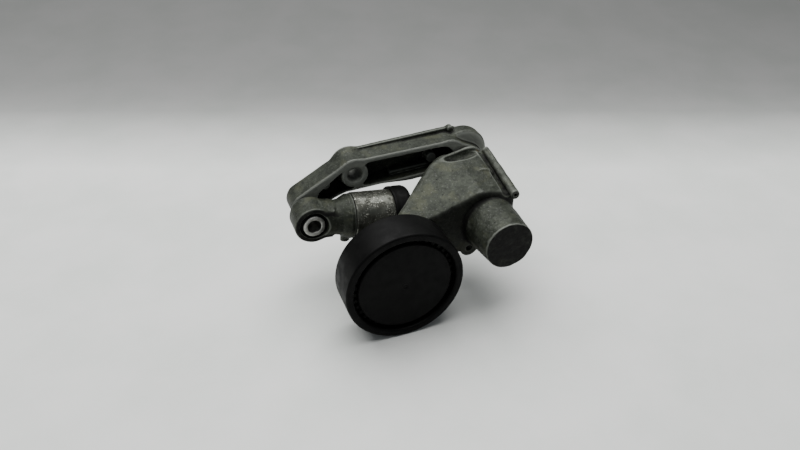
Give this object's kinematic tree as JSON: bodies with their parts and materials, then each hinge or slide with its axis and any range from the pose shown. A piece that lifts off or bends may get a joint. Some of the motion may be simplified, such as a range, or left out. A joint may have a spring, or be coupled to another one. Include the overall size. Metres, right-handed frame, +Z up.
{
  "type": "belt tensioner idler",
  "caption": "Flat idler pulley on a cast lever that hinges on an engine bracket, pushed by a spring and damper strut with a cast eye.",
  "frame": {"origin": "axis of the bracket's main bolt bore, on the mounting face that meets the engine", "axes": "+Y along the bolt bores into the engine, +X to the right along the bracket, +Z up"},
  "size_m": [0.1418, 0.0885, 0.0977],
  "materials": {
    "cast_aluminium": "rough as-cast, stained and dirty in the corners",
    "machined_aluminium": "turned, worn and spotted",
    "black_moulding": "matt black, lightly scuffed",
    "boot_rubber": "smooth, dusty",
    "bright_steel": "ground",
    "dark_steel": "oiled",
    "bush_bronze": "dull"
  },
  "bodies": {
    "bracket": {"base_bracket": "cast_aluminium", "pivot_bush_front": "bush_bronze", "pivot_bush_rear": "bush_bronze", "retaining_washer": "dark_steel"},
    "lever": {"tensioner_lever": "cast_aluminium", "pivot_shaft": "bright_steel", "retaining_ring": "dark_steel", "strut_pin": "bright_steel", "pin_washer": "dark_steel", "pin_ring": "dark_steel", "pulley_spacer": "bright_steel", "bearing_inner_ring": "bright_steel", "clamp_washer": "dark_steel", "pulley_bolt": "dark_steel"},
    "strut": {"strut_eye_end": "cast_aluminium", "eye_rubber_bush": "boot_rubber", "eye_sleeve": "bright_steel", "strut_cylinder": "machined_aluminium", "pressure_tube": "bright_steel", "valve_seat": "dark_steel", "valve_ball": "bright_steel", "strut_spring": "dark_steel", "cylinder_stop_ring": "dark_steel"},
    "rod": {"strut_rod": "bright_steel", "strut_piston": "bright_steel", "spring_plate": "dark_steel", "dust_boot": "boot_rubber", "lock_nut": "dark_steel", "rod_end": "dark_steel", "rod_end_bush": "bush_bronze"},
    "pulley": {"pulley_rim": "black_moulding", "bearing_outer_ring": "bright_steel", "bearing_balls": "bright_steel", "bearing_cage": "dark_steel", "bearing_seal_front": "boot_rubber", "bearing_seal_rear": "boot_rubber", "dust_cap": "black_moulding"}
  },
  "joints": [
    {"name": "lever_pivot", "type": "hinge", "parent": "bracket", "child": "lever", "pos_m": [0.0795, -0.018, -0.007], "axis": [0, 1, 0], "range_deg": [0, 18]},
    {"name": "strut_swing", "type": "hinge", "parent": "bracket", "child": "strut", "pos_m": [-0.033, -0.026, -0.0205], "axis": [0, 1, 0], "range_deg": [-1.2, 0.2]},
    {"name": "rod_slide", "type": "slide", "parent": "strut", "child": "rod", "axis": [0.9934, 0, -0.115], "range_m": [-0.0085, 0.0002], "stiffness_N_per_m": 300, "springref_m": 0.02, "deforming": ["strut_spring"]},
    {"name": "pulley_spin", "type": "hinge", "parent": "lever", "child": "pulley", "pos_m": [0.009, -0.073, -0.0433], "axis": [0, 1, 0], "continuous": true}
  ],
  "couplings": [
    {"joint": "strut_swing", "follows": "lever_pivot", "ratio": -0.0476},
    {"joint": "rod_slide", "follows": "lever_pivot", "m_per_rad": -0.02573}
  ]
}
